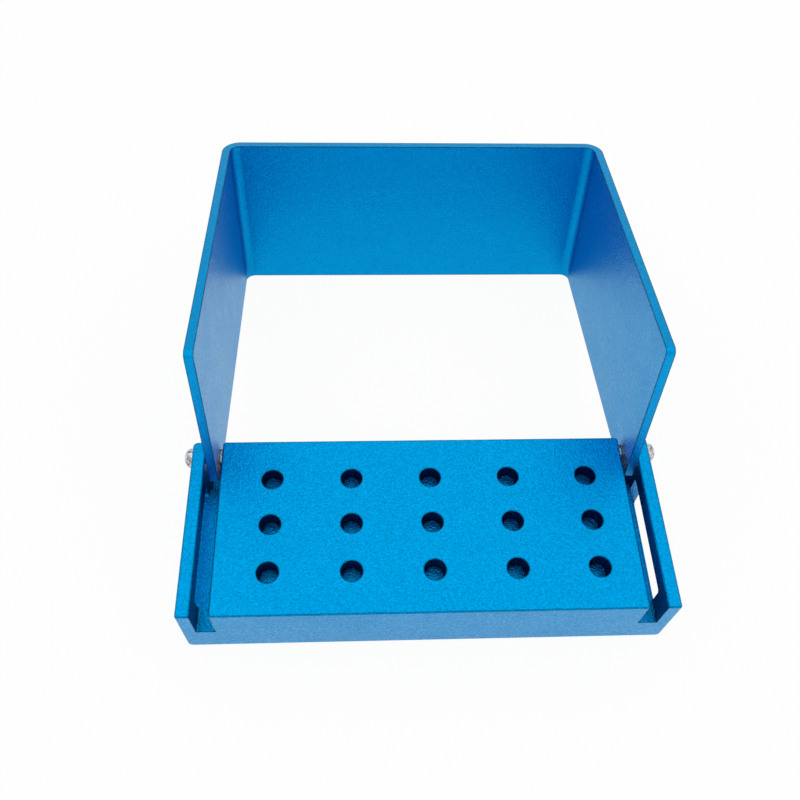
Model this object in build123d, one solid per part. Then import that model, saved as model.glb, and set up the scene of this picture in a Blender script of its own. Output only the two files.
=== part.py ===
from build123d import *
from math import asin, atan2, degrees, hypot
import os

# Dental bur block: a drilled base with a hinged cover, shown with the cover laid back.
# Millimetres. X runs along the block, +Y to the hinge side, +Z up.
# The origin is the middle of the base's underside.

# Base block
base_width = 58.0
base_depth = 22.8
base_height = 9.9
end_bottom_radius = 0.7  # long bottom edges of the two ends
front_corner_radius = 0.3  # upright edges at the front of the base
back_corner_radius = 0.6  # upright edges at the back of the base
block_corner_radius = 0.35  # upright edges of the drilled block, beside the slots
edge_break = 0.12  # small bevel along the top edges

# End rails, and the slots that take the flanges of the cover
rail_thickness = 1.65
slot_depth = 5.0
hinge_pocket_from_back = 4.2  # length of slot, at the hinge end, that is milled deeper
hinge_pocket_drop = 1.5

# Finger window milled through each rail, open into the slot behind it.
# The left one stops level with the slot floor, and the right one runs on down.
window_from_front = 2.8
window_from_back = 4.8
window_bar = 2.3  # rail left standing above the window
right_window_sill = 0.6  # rail left standing below the right window
window_corner_radius = 0.5

# Bur holes, in columns along X and rows along Y
hole_columns = 5
hole_rows = 3
column_pitch = 9.76
row_pitch = 6.08
pattern_shift_right = 0.7  # the whole pattern sits a little off the middle
pattern_shift_front = 0.1
shank_diameter = 2.35
shank_clearance = 0.125  # all round
hole_depth = 2.4
hole_floor_bevel = 0.2
hole_mouth_bevel = 0.06

# Cover, bent from sheet into a channel that is open at the front and the back
sheet_thickness = 1.1
cover_height = 43.2  # over all, from the flange ends to the outside of the web
bend_inner_radius = 1.3
flange_front_radius = 0.8
flange_side_clearance = 0.6  # flange to rail
flange_inner_gap = 0.4  # flange to drilled block
flange_floor_clearance = 0.15  # flange end to slot floor, with the cover shut

# Hinge rivets
hinge_from_back = 1.45
flange_swing_clearance = 2.05  # flange back edge to slot floor, as the cover swings
rivet_diameter = 1.5
rivet_running_clearance = 0.05  # all round, in the flange
rivet_head_diameter = 2.45
rivet_head_rim = 0.4  # straight side of the outer head
rivet_head_height = 1.15
rivet_end_diameter = 2.2  # end formed over, inside the flange
rivet_end_thickness = 0.22
rivet_end_clearance = 0.06

# Places that follow from the sizes above
slot_width = flange_side_clearance + sheet_thickness + flange_inner_gap
rail_inner_x = base_width / 2 - rail_thickness
block_half_width = rail_inner_x - slot_width
slot_floor_z = base_height - slot_depth
front_y = -base_depth / 2
back_y = base_depth / 2
hinge_y = back_y - hinge_from_back
hinge_z = slot_floor_z + hinge_from_back + flange_swing_clearance
cover_half_width = rail_inner_x - flange_side_clearance
cover_bottom_z = slot_floor_z + flange_floor_clearance
cover_top_z = cover_bottom_z + cover_height
flange_back_radius = hinge_from_back  # lets the flange end swing clear of the slot floor
sides = (-1, 1)

# The cover swings back until the outer back edge of its web meets the table.
# Shut, that edge lies above the hinge and as far behind it as the base's back face.
edge_above = cover_top_z - hinge_z
edge_reach = hypot(hinge_from_back, edge_above)
open_angle = degrees(atan2(edge_above, hinge_from_back) + asin(hinge_z / edge_reach))


def upright_edges(solid, x, y):
    """The vertical edges of a solid that stand at this X and Y."""
    near = 0.01
    edges = solid.edges().filter_by(Axis.Z)
    return [edge for edge in edges if hypot(edge.center().X - x, edge.center().Y - y) < near]


def make_bar():
    """The base before milling, with rounded ends below and rounded upright corners."""
    with BuildSketch(Plane.XZ) as profile:
        Rectangle(base_width, base_height, align=(Align.CENTER, Align.MIN))
        fillet(profile.vertices().group_by(Axis.Y)[0], end_bottom_radius)
    bar = extrude(profile.sketch, amount=base_depth / 2, both=True)
    for y, radius in ((front_y, front_corner_radius), (back_y, back_corner_radius)):
        corners = [edge for side in sides for edge in upright_edges(bar, side * base_width / 2, y)]
        bar = fillet(corners, radius)
    return bar


def make_slot(side):
    """Room for one flange of the cover, open at the front, the back and the top, deeper at the hinge."""
    centre_x = side * (rail_inner_x - slot_width / 2)
    slot = Box(slot_width, base_depth, slot_depth, align=(Align.CENTER, Align.CENTER, Align.MAX))
    pocket_depth = slot_depth + hinge_pocket_drop
    back_top = (Align.CENTER, Align.MAX, Align.MAX)
    pocket = Box(slot_width, hinge_pocket_from_back, pocket_depth, align=back_top)
    return Pos(centre_x, 0, base_height) * (slot + Pos(0, back_y, 0) * pocket)


def make_window(side):
    """Pocket milled in from one end, exactly as deep as the rail is thick."""
    sill_z = slot_floor_z if side < 0 else right_window_sill
    length = base_depth - window_from_front - window_from_back
    height = base_height - window_bar - sill_z
    middle_y = front_y + window_from_front + length / 2
    middle_z = sill_z + height / 2
    outline = Plane.YZ * RectangleRounded(length, height, window_corner_radius)
    return Pos(side * rail_inner_x, middle_y, middle_z) * extrude(outline, amount=side * rail_thickness)


def make_bur_hole():
    """Flat-floored blind hole with its mouth at Z 0, bevelled round the floor and the mouth."""
    radius = shank_diameter / 2 + shank_clearance
    below = (Align.CENTER, Align.CENTER, Align.MAX)
    hole = Cylinder(radius, hole_depth, align=below)
    hole = chamfer(hole.edges().group_by(Axis.Z)[0], hole_floor_bevel)
    return hole + Cone(radius, radius + hole_mouth_bevel, hole_mouth_bevel, align=below)


def bur_hole_places():
    """Middle of each hole's mouth, on the top face."""
    grid = GridLocations(column_pitch, row_pitch, hole_columns, hole_rows)
    return [Pos(pattern_shift_right, -pattern_shift_front, base_height) * place for place in grid]


def make_base():
    """Milled base: bar, slots, windows, bur holes and the two rivet holes."""
    base = make_bar()
    for side in sides:
        base -= make_slot(side)
    inner_corners = []
    for side in sides:
        for y in (front_y, back_y):
            inner_corners += upright_edges(base, side * block_half_width, y)
    base = fillet(inner_corners, block_corner_radius)
    base = chamfer(base.faces().sort_by(Axis.Z)[-3:].edges(), edge_break)
    for side in sides:
        base -= make_window(side)
        base -= rivet_bore(side, rivet_diameter / 2)
    for place in bur_hole_places():
        base -= place * make_bur_hole()
    return base


def rivet_bore(side, radius):
    """Hole along the hinge axis, from inside the slot out past the end face."""
    length = slot_width + rail_thickness + rivet_head_height
    centre_x = side * (block_half_width + length / 2)
    return Pos(centre_x, hinge_y, hinge_z) * Rot(0, 90, 0) * Cylinder(radius, length)


def arch_outline(half_width, height, corner_radius):
    """Upright rectangle standing on Z 0, with its two upper corners rounded."""
    with BuildSketch(Plane.XZ) as arch:
        Rectangle(2 * half_width, height, align=(Align.CENTER, Align.MIN))
        fillet(arch.vertices().group_by(Axis.Y)[-1], corner_radius)
    return arch.sketch


def make_cover():
    """Channel bent from sheet, modelled shut: the web on top and a flange into each slot."""
    outer_radius = bend_inner_radius + sheet_thickness
    outside = arch_outline(cover_half_width, cover_height, outer_radius)
    inside = arch_outline(
        cover_half_width - sheet_thickness, cover_height - sheet_thickness, bend_inner_radius
    )
    section = Pos(0, 0, cover_bottom_z) * (outside - inside)
    cover = extrude(section, amount=base_depth / 2, both=True)
    for y, radius in ((front_y, flange_front_radius), (back_y, flange_back_radius)):
        cover = fillet(flange_end_edges(cover, y), radius)
    for side in sides:
        cover -= rivet_bore(side, rivet_diameter / 2 + rivet_running_clearance)
    return cover


def flange_end_edges(cover, y):
    """The short edges across the sheet, at the flange ends, at one Y."""
    near = 0.01
    edges = cover.edges().filter_by(Axis.X)
    return [
        edge
        for edge in edges
        if abs(edge.center().Z - cover_bottom_z) < near and abs(edge.center().Y - y) < near
    ]


def make_rivet(side):
    """Turned on the hinge axis: domed head outside the rail, shank, and an end formed over the flange."""
    head_x = base_width / 2
    flange_x = cover_half_width - sheet_thickness
    end_x = flange_x - rivet_end_clearance
    head_radius = rivet_head_diameter / 2
    shank_radius = rivet_diameter / 2
    end_radius = rivet_end_diameter / 2
    tip_x = end_x - rivet_end_thickness
    with BuildSketch(Plane.XZ) as half:
        with BuildLine():
            shank = Polyline(
                (tip_x, 0),
                (tip_x, end_radius),
                (end_x, end_radius),
                (end_x, shank_radius),
                (head_x, shank_radius),
                (head_x, head_radius),
                (head_x + rivet_head_rim, head_radius),
            )
            dome_height = rivet_head_height - rivet_head_rim
            rim_place = (head_x + rivet_head_rim, 0)
            dome = EllipticalCenterArc(rim_place, dome_height, head_radius, arc_size=90)
            Line(dome @ 0, shank @ 0)
        make_face()
    rivet = revolve(half.sketch, Axis.X)
    if side < 0:
        rivet = mirror(rivet, Plane.YZ)
    return Pos(0, hinge_y, hinge_z) * rivet


def open_cover(cover):
    """The cover turned back about the hinge, from shut to its rest on the table."""
    return cover.rotate(Axis((0, hinge_y, hinge_z), (1, 0, 0)), -open_angle)


os.makedirs("parts", exist_ok=True)
export_step(make_base(), "parts/base_block.step")
export_step(open_cover(make_cover()), "parts/cover.step")
for name, side in (("left", -1), ("right", 1)):
    export_step(make_rivet(side), f"parts/{name}_hinge_rivet.step")
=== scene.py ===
import bpy
from mathutils import Matrix, Vector

MM = 0.001

# Colours, as linear values
ANODISED_BLUE = (0.0, 0.34, 0.74, 1.0)
EDGE_BLUE = (0.0, 0.025, 0.09, 1.0)
# Painted shade colour for the walls and floors of cavities
PAINTED_SHADE_NAVY = (0.0, 0.012, 0.12, 1.0)
LOW_ANGLE_TINT = (0.88, 0.90, 0.88, 1.0)  # of what the anodised metal reflects at a low angle
RIVET_SILVER = (0.72, 0.73, 0.74, 1.0)
RIVET_DULL = (0.24, 0.24, 0.25, 1.0)
FLOOR_WHITE = (0.93, 0.93, 0.93, 1.0)
STUDIO_WHITE = (1.0, 1.0, 1.0, 1.0)

# Sizes of the surface detail, in metres
BLAST_GRAIN = 0.24 * MM  # pits left by the sand-blasting
FINE_GRAIN = 0.10 * MM
RELIEF_DEPTH = 0.07 * MM
MOTTLE = 0.9 * MM  # uneven dye between the pits
SCUFF = 6.0 * MM  # broad handling marks
STREAK_LENGTH = 7.0 * MM  # milling marks that still show on the upright faces
STREAK_WIDTH = 0.25 * MM
EDGE_RADIUS = 0.12 * MM  # rounding that light finds on every edge
EDGE_LINE = 0.26 * MM  # width of the dark line drawn along every edge
PAINTED_SHADE_REACH = 3.0 * MM  # how near another wall brings the painted shade
SHEEN_REACH = 30.0 * MM  # how near other metal takes away the pale sheen, which partly stands in for a painted reflection
RIVET_DENT = 0.35 * MM
RIVET_DENT_DEPTH = 0.06 * MM
RIVET_SPECK = 0.08 * MM

# Strength of the surface detail. A pair is its value in the lows and in the highs of a noise.
NOISE_LOW = 0.30
NOISE_HIGH = 0.70
FINE_SHARE = 0.30  # of the fine grain in the relief, beside the pits
MOTTLE_CONTRAST = 0.03
EDGE_STRENGTH = (0.65, 1.0)
SCUFF_ROUGHNESS = (0.28, 0.34)
PIT_ROUGHNESS = (0.04, -0.03)  # added to that of the scuffs
SHEEN_WEIGHT = (0.10, 0.50)
SHEEN_ROUGHNESS = 0.25
RIVET_ROUGHNESS = (0.16, 0.30)

# Where a place counts as shut in, and where as open: ambient occlusion is 1 in the open. Painted shade
# falls in shut-in places, and the sheen that partly stands in for a reflection falls only in open ones
FLOOR_OPENNESS = (0.14, 0.29)
WALL_OPENNESS = (0.40, 0.92)
SHEEN_OPENNESS = (0.85, 0.99)
FLOOR_UNSHADED_SHARE = 0.20  # plain colour that still shows through the painted shade on the floor of a deep cavity

# Where a face counts as level, and where as upright, by the upward part of its normal
FACING_RANGE = (0.75, 0.45)
# Where a surface counts as flat, and where as an edge, by the cosine of its normal's lean
LEAN_RANGE = (0.998, 0.93)

EDGE_SAMPLES = 6
OPENNESS_SAMPLES = 8

# Sockets of the Mix node when it mixes colours: its factor and two colours, and its result
MIX_FACTOR = 0
MIX_FIRST = 6
MIX_SECOND = 7
MIX_RESULT = 2

# Brightness of the studio: its white backdrop, the walls above that, and overhead.
# Heights are the upward part of a unit vector towards the place.
BACKDROP_GLOW = 1.0
WALL_GLOW = 0.45
OVERHEAD_GLOW = 1.07
BACKDROP_TOP = 0.18
WALL_FOOT = 0.32
OVERHEAD_EDGE = 0.80

# Camera, fitted to the photograph's outlines
CAMERA_PLACE = Vector((-7.77, -44.71, 104.94)) * MM
CAMERA_FORWARD = Vector((0.0449, 0.5472, -0.8358))
CAMERA_RIGHT = Vector((0.9990, -0.0325, 0.0324))
FOCAL_PIXELS = 863.5
PHOTO_PIXELS = 800.0
SENSOR_WIDTH = 36.0
NEAREST_SEEN = 1 * MM

# White table. The shares are how much of it is plain white instead of lit by the studio.
FLOOR_SIZE = 3.0
WHITE_SHARE_SEEN = 0.94
WHITE_SHARE_REFLECTED = 0.68


class Tree:
    """Small helper that adds and links nodes in one node tree."""

    def __init__(self, owner):
        owner.use_nodes = True
        self.tree = owner.node_tree
        self.tree.nodes.clear()

    def node(self, kind, inputs=None, **settings):
        made = self.tree.nodes.new(kind)
        for name, value in settings.items():
            setattr(made, name, value)
        for name, value in (inputs or {}).items():
            if isinstance(value, bpy.types.NodeSocket):
                self.tree.links.new(value, made.inputs[name])
            else:
                made.inputs[name].default_value = value
        return made

    def math(self, operation, first, second):
        return self.node("ShaderNodeMath", {0: first, 1: second}, operation=operation).outputs[0]

    def remap(self, value, low, high, to_low, to_high):
        inputs = {"Value": value, "From Min": low, "From Max": high, "To Min": to_low, "To Max": to_high}
        return self.node("ShaderNodeMapRange", inputs).outputs["Result"]

    def tone(self, value, contrast):
        """A factor round 1 that goes as far as the contrast either side with a noise value."""
        return self.remap(value, NOISE_LOW, NOISE_HIGH, 1.0 - contrast, 1.0 + contrast)

    def noise(self, place, grain, detail=2.0, roughness=0.5):
        inputs = {"Vector": place, "Scale": 1.0 / grain, "Detail": detail, "Roughness": roughness}
        return self.node("ShaderNodeTexNoise", inputs).outputs["Fac"]

    def blend(self, share, first, second):
        inputs = {MIX_FACTOR: share, MIX_FIRST: first, MIX_SECOND: second}
        return self.node("ShaderNodeMix", inputs, data_type="RGBA").outputs[MIX_RESULT]

    def rounded_normal(self, radius):
        return self.node("ShaderNodeBevel", {"Radius": radius}, samples=EDGE_SAMPLES).outputs["Normal"]

    def edge_mask(self, radius):
        """1 on edges and 0 on flat faces, from how far a rounded normal leans away."""
        flat = self.node("ShaderNodeNewGeometry").outputs["True Normal"]
        normals = {0: self.rounded_normal(radius), 1: flat}
        lean = self.node("ShaderNodeVectorMath", normals, operation="DOT_PRODUCT")
        return self.remap(lean.outputs["Value"], *LEAN_RANGE, 0.0, 1.0)

    def openness(self, reach):
        """1 in the open and less where the same piece stands within reach."""
        around = self.node(
            "ShaderNodeAmbientOcclusion", {"Distance": reach}, samples=OPENNESS_SAMPLES, only_local=True
        )
        return around.outputs["AO"]


def unshaded_share(t, upright, unshaded_wall_share):
    """How much of the plain colour shows against the painted shade: all of it in the open, and less on
    walls and floors of cavities.
    """
    openness = t.openness(PAINTED_SHADE_REACH)
    on_floors = t.remap(openness, *FLOOR_OPENNESS, FLOOR_UNSHADED_SHARE, 1.0)
    on_walls = t.remap(openness, *WALL_OPENNESS, unshaded_wall_share, 1.0)
    floor_part = t.math("MULTIPLY", t.math("SUBTRACT", 1.0, upright), on_floors)
    return t.math("ADD", t.math("MULTIPLY", upright, on_walls), floor_part)


def anodised_material(name, dye_seed, unshaded_wall_share, grain_contrast, streak_contrast):
    """Sand-blasted aluminium under a blue anodised layer: grain, uneven dye, dark edges, painted shade
    in cavities, and a pale sheen that is partly a painted reflection.

    The wall share is how much of the plain colour still shows through the painted shade on walls that
    stand close.
    The contrasts are how far the tone of the pits, and of the milling marks, goes either side of the
    plain dye.
    """
    material = bpy.data.materials.new(name)
    t = Tree(material)
    coordinates = t.node("ShaderNodeTexCoord").outputs
    moved = t.node("ShaderNodeMapping", {"Vector": coordinates["Object"], "Location": (dye_seed, 0, 0)})
    place = moved.outputs[0]
    pits = t.noise(place, BLAST_GRAIN, detail=1.5, roughness=0.6)
    fine = t.noise(place, FINE_GRAIN, detail=1.0)
    mottle = t.noise(place, MOTTLE, detail=3.0, roughness=0.6)
    scuff = t.noise(place, SCUFF, detail=4.0, roughness=0.55)
    facing = t.node("ShaderNodeSeparateXYZ", {0: coordinates["Normal"]}).outputs["Z"]
    upright = t.remap(t.math("ABSOLUTE", facing, 0.0), *FACING_RANGE, 0.0, 1.0)

    # Dye: each pit is a little darker, patches differ slightly, and milling marks show on upright faces
    stretch = (STREAK_WIDTH / STREAK_LENGTH, 1.0, 1.0)
    along = t.node("ShaderNodeMapping", {"Vector": place, "Scale": stretch}).outputs[0]
    streaks = t.math("MULTIPLY", t.math("SUBTRACT", t.noise(along, STREAK_WIDTH), 0.5), upright)
    streak_tone = t.remap(streaks, -0.2, 0.2, 1.0 - streak_contrast, 1.0 + streak_contrast)
    grain_tone = t.math("MULTIPLY", t.tone(pits, grain_contrast), t.tone(mottle, MOTTLE_CONTRAST))
    tone = t.math("MULTIPLY", grain_tone, streak_tone)
    # A dark line along every edge, stronger in some patches than in others
    edge_strength = t.remap(mottle, 0.35, 0.60, *EDGE_STRENGTH)
    dark_edges = t.math("MULTIPLY", t.edge_mask(EDGE_LINE), edge_strength)
    edge_lined_blue = t.blend(dark_edges, ANODISED_BLUE, EDGE_BLUE)
    # Painted shade: walls and floors of cavities turn navy where ambient occlusion finds them shut in
    shaded = t.blend(unshaded_share(t, upright, unshaded_wall_share), PAINTED_SHADE_NAVY, edge_lined_blue)
    colour = t.node("ShaderNodeVectorMath", {0: shaded, "Scale": tone}, operation="SCALE").outputs[0]

    # Finish: scuffs and pits are rougher than what lies between them, and both grains stand in relief
    scuff_part = t.remap(scuff, 0.35, 0.65, *SCUFF_ROUGHNESS)
    gloss = t.math("ADD", scuff_part, t.remap(pits, NOISE_LOW, NOISE_HIGH, *PIT_ROUGHNESS))
    relief = t.math("ADD", pits, t.math("MULTIPLY", fine, FINE_SHARE))
    rounded = t.rounded_normal(EDGE_RADIUS)
    bump_inputs = {"Strength": 1.0, "Distance": RELIEF_DEPTH, "Height": relief, "Normal": rounded}
    bumped = t.node("ShaderNodeBump", bump_inputs).outputs["Normal"]

    # Pale sheen, speckled by the pits: partly the coat's own paleness at a low angle, partly a painted
    # reflection of the white surroundings, so it is masked off where the metal faces other metal of the
    # same piece
    clear = t.remap(t.openness(SHEEN_REACH), *SHEEN_OPENNESS, 0.0, 1.0)
    sheen = t.math("MULTIPLY", clear, t.remap(pits, 0.38, 0.62, *SHEEN_WEIGHT))

    shader = t.node("ShaderNodeBsdfPrincipled", {
        "Base Color": colour, "Roughness": gloss, "Normal": bumped, "Specular Tint": LOW_ANGLE_TINT,
        "Metallic": 1.0, "Sheen Weight": sheen, "Sheen Roughness": SHEEN_ROUGHNESS,
    })
    t.node("ShaderNodeOutputMaterial", {"Surface": shader.outputs[0]})
    return material


def rivet_material():
    """Bright steel, patchily dull, with small dents from setting."""
    material = bpy.data.materials.new("bright_turned_steel")
    t = Tree(material)
    place = t.node("ShaderNodeTexCoord").outputs["Object"]
    dents = t.noise(place, RIVET_DENT)
    specks = t.noise(place, RIVET_SPECK)
    colour = t.blend(t.remap(dents, 0.40, 0.62, 0.0, 1.0), RIVET_SILVER, RIVET_DULL)
    gloss = t.remap(specks, NOISE_LOW, NOISE_HIGH, *RIVET_ROUGHNESS)
    bump_inputs = {"Strength": 1.0, "Distance": RIVET_DENT_DEPTH, "Height": dents}
    bumped = t.node("ShaderNodeBump", bump_inputs).outputs["Normal"]
    shader = t.node("ShaderNodeBsdfPrincipled", {
        "Base Color": colour, "Roughness": gloss, "Normal": bumped, "Metallic": 1.0,
    })
    t.node("ShaderNodeOutputMaterial", {"Surface": shader.outputs[0]})
    return material


def background_share(t, seen, reflected):
    """How much of the plain background shows: seen by the camera, or off a glossy or clear surface."""
    path = t.node("ShaderNodeLightPath").outputs
    indirect = t.math("MAXIMUM", path["Is Glossy Ray"], path["Is Transmission Ray"])
    direct_part = t.math("MULTIPLY", path["Is Camera Ray"], seen)
    return t.math("ADD", direct_part, t.math("MULTIPLY", indirect, reflected))


def make_floor():
    """White table: lit by the studio, and close to pure white where it is seen."""
    bpy.ops.mesh.primitive_plane_add(size=FLOOR_SIZE)
    floor = bpy.context.object
    floor.name = "table"
    material = bpy.data.materials.new("white_table")
    t = Tree(material)
    lit = t.node("ShaderNodeBsdfDiffuse", {"Color": FLOOR_WHITE}).outputs[0]
    glow = t.node("ShaderNodeEmission", {"Color": STUDIO_WHITE, "Strength": 1.0}).outputs[0]
    share = background_share(t, WHITE_SHARE_SEEN, WHITE_SHARE_REFLECTED)
    mixed = t.node("ShaderNodeMixShader", {0: share, 1: lit, 2: glow}).outputs[0]
    t.node("ShaderNodeOutputMaterial", {"Surface": mixed})
    floor.data.materials.append(material)


def make_world():
    """Soft white studio: a white backdrop round the table, dimmer walls, and a bright ceiling."""
    world = bpy.data.worlds.new("studio")
    bpy.context.scene.world = world
    t = Tree(world)
    direction = t.node("ShaderNodeTexCoord").outputs["Generated"]
    height = t.node("ShaderNodeSeparateXYZ", {0: direction}).outputs["Z"]
    backdrop = t.remap(height, BACKDROP_TOP, WALL_FOOT, BACKDROP_GLOW, WALL_GLOW)
    ceiling = t.remap(height, WALL_FOOT, OVERHEAD_EDGE, WALL_GLOW, OVERHEAD_GLOW)
    glow = t.math("MAXIMUM", backdrop, ceiling)
    sky = t.node("ShaderNodeBackground", {"Color": STUDIO_WHITE, "Strength": glow}).outputs[0]
    t.node("ShaderNodeOutputWorld", {"Surface": sky})


def make_camera():
    camera = bpy.data.cameras.new("photo_camera")
    camera.sensor_width = SENSOR_WIDTH
    camera.lens = FOCAL_PIXELS / PHOTO_PIXELS * SENSOR_WIDTH
    camera.clip_start = NEAREST_SEEN
    holder = bpy.data.objects.new("photo_camera", camera)
    back = -CAMERA_FORWARD.normalized()
    up = back.cross(CAMERA_RIGHT).normalized()
    right = up.cross(back)
    turn = Matrix((right, up, back)).transposed().to_4x4()
    holder.matrix_world = Matrix.Translation(CAMERA_PLACE) @ turn
    bpy.context.collection.objects.link(holder)
    bpy.context.scene.camera = holder


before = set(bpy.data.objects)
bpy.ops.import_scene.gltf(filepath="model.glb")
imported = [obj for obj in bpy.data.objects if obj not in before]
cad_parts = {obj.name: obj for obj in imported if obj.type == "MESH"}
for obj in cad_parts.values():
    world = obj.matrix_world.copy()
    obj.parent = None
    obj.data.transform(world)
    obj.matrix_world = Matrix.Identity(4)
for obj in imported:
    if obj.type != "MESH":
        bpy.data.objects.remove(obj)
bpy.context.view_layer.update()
bpy.context.scene.view_settings.view_transform = "Standard"

finishes = {
    "base_block": anodised_material(
        "blue_anodised_base", dye_seed=0.0, unshaded_wall_share=0.0, grain_contrast=0.20, streak_contrast=0.06
    ),
    "cover": anodised_material(
        "blue_anodised_cover", dye_seed=0.31, unshaded_wall_share=0.60, grain_contrast=0.10, streak_contrast=0.0
    ),
}
steel = rivet_material()
for rivet in ("left_hinge_rivet", "right_hinge_rivet"):
    finishes[rivet] = steel
for node, finish in finishes.items():
    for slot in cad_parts[node].material_slots:
        slot.material = finish

make_floor()
make_world()
make_camera()
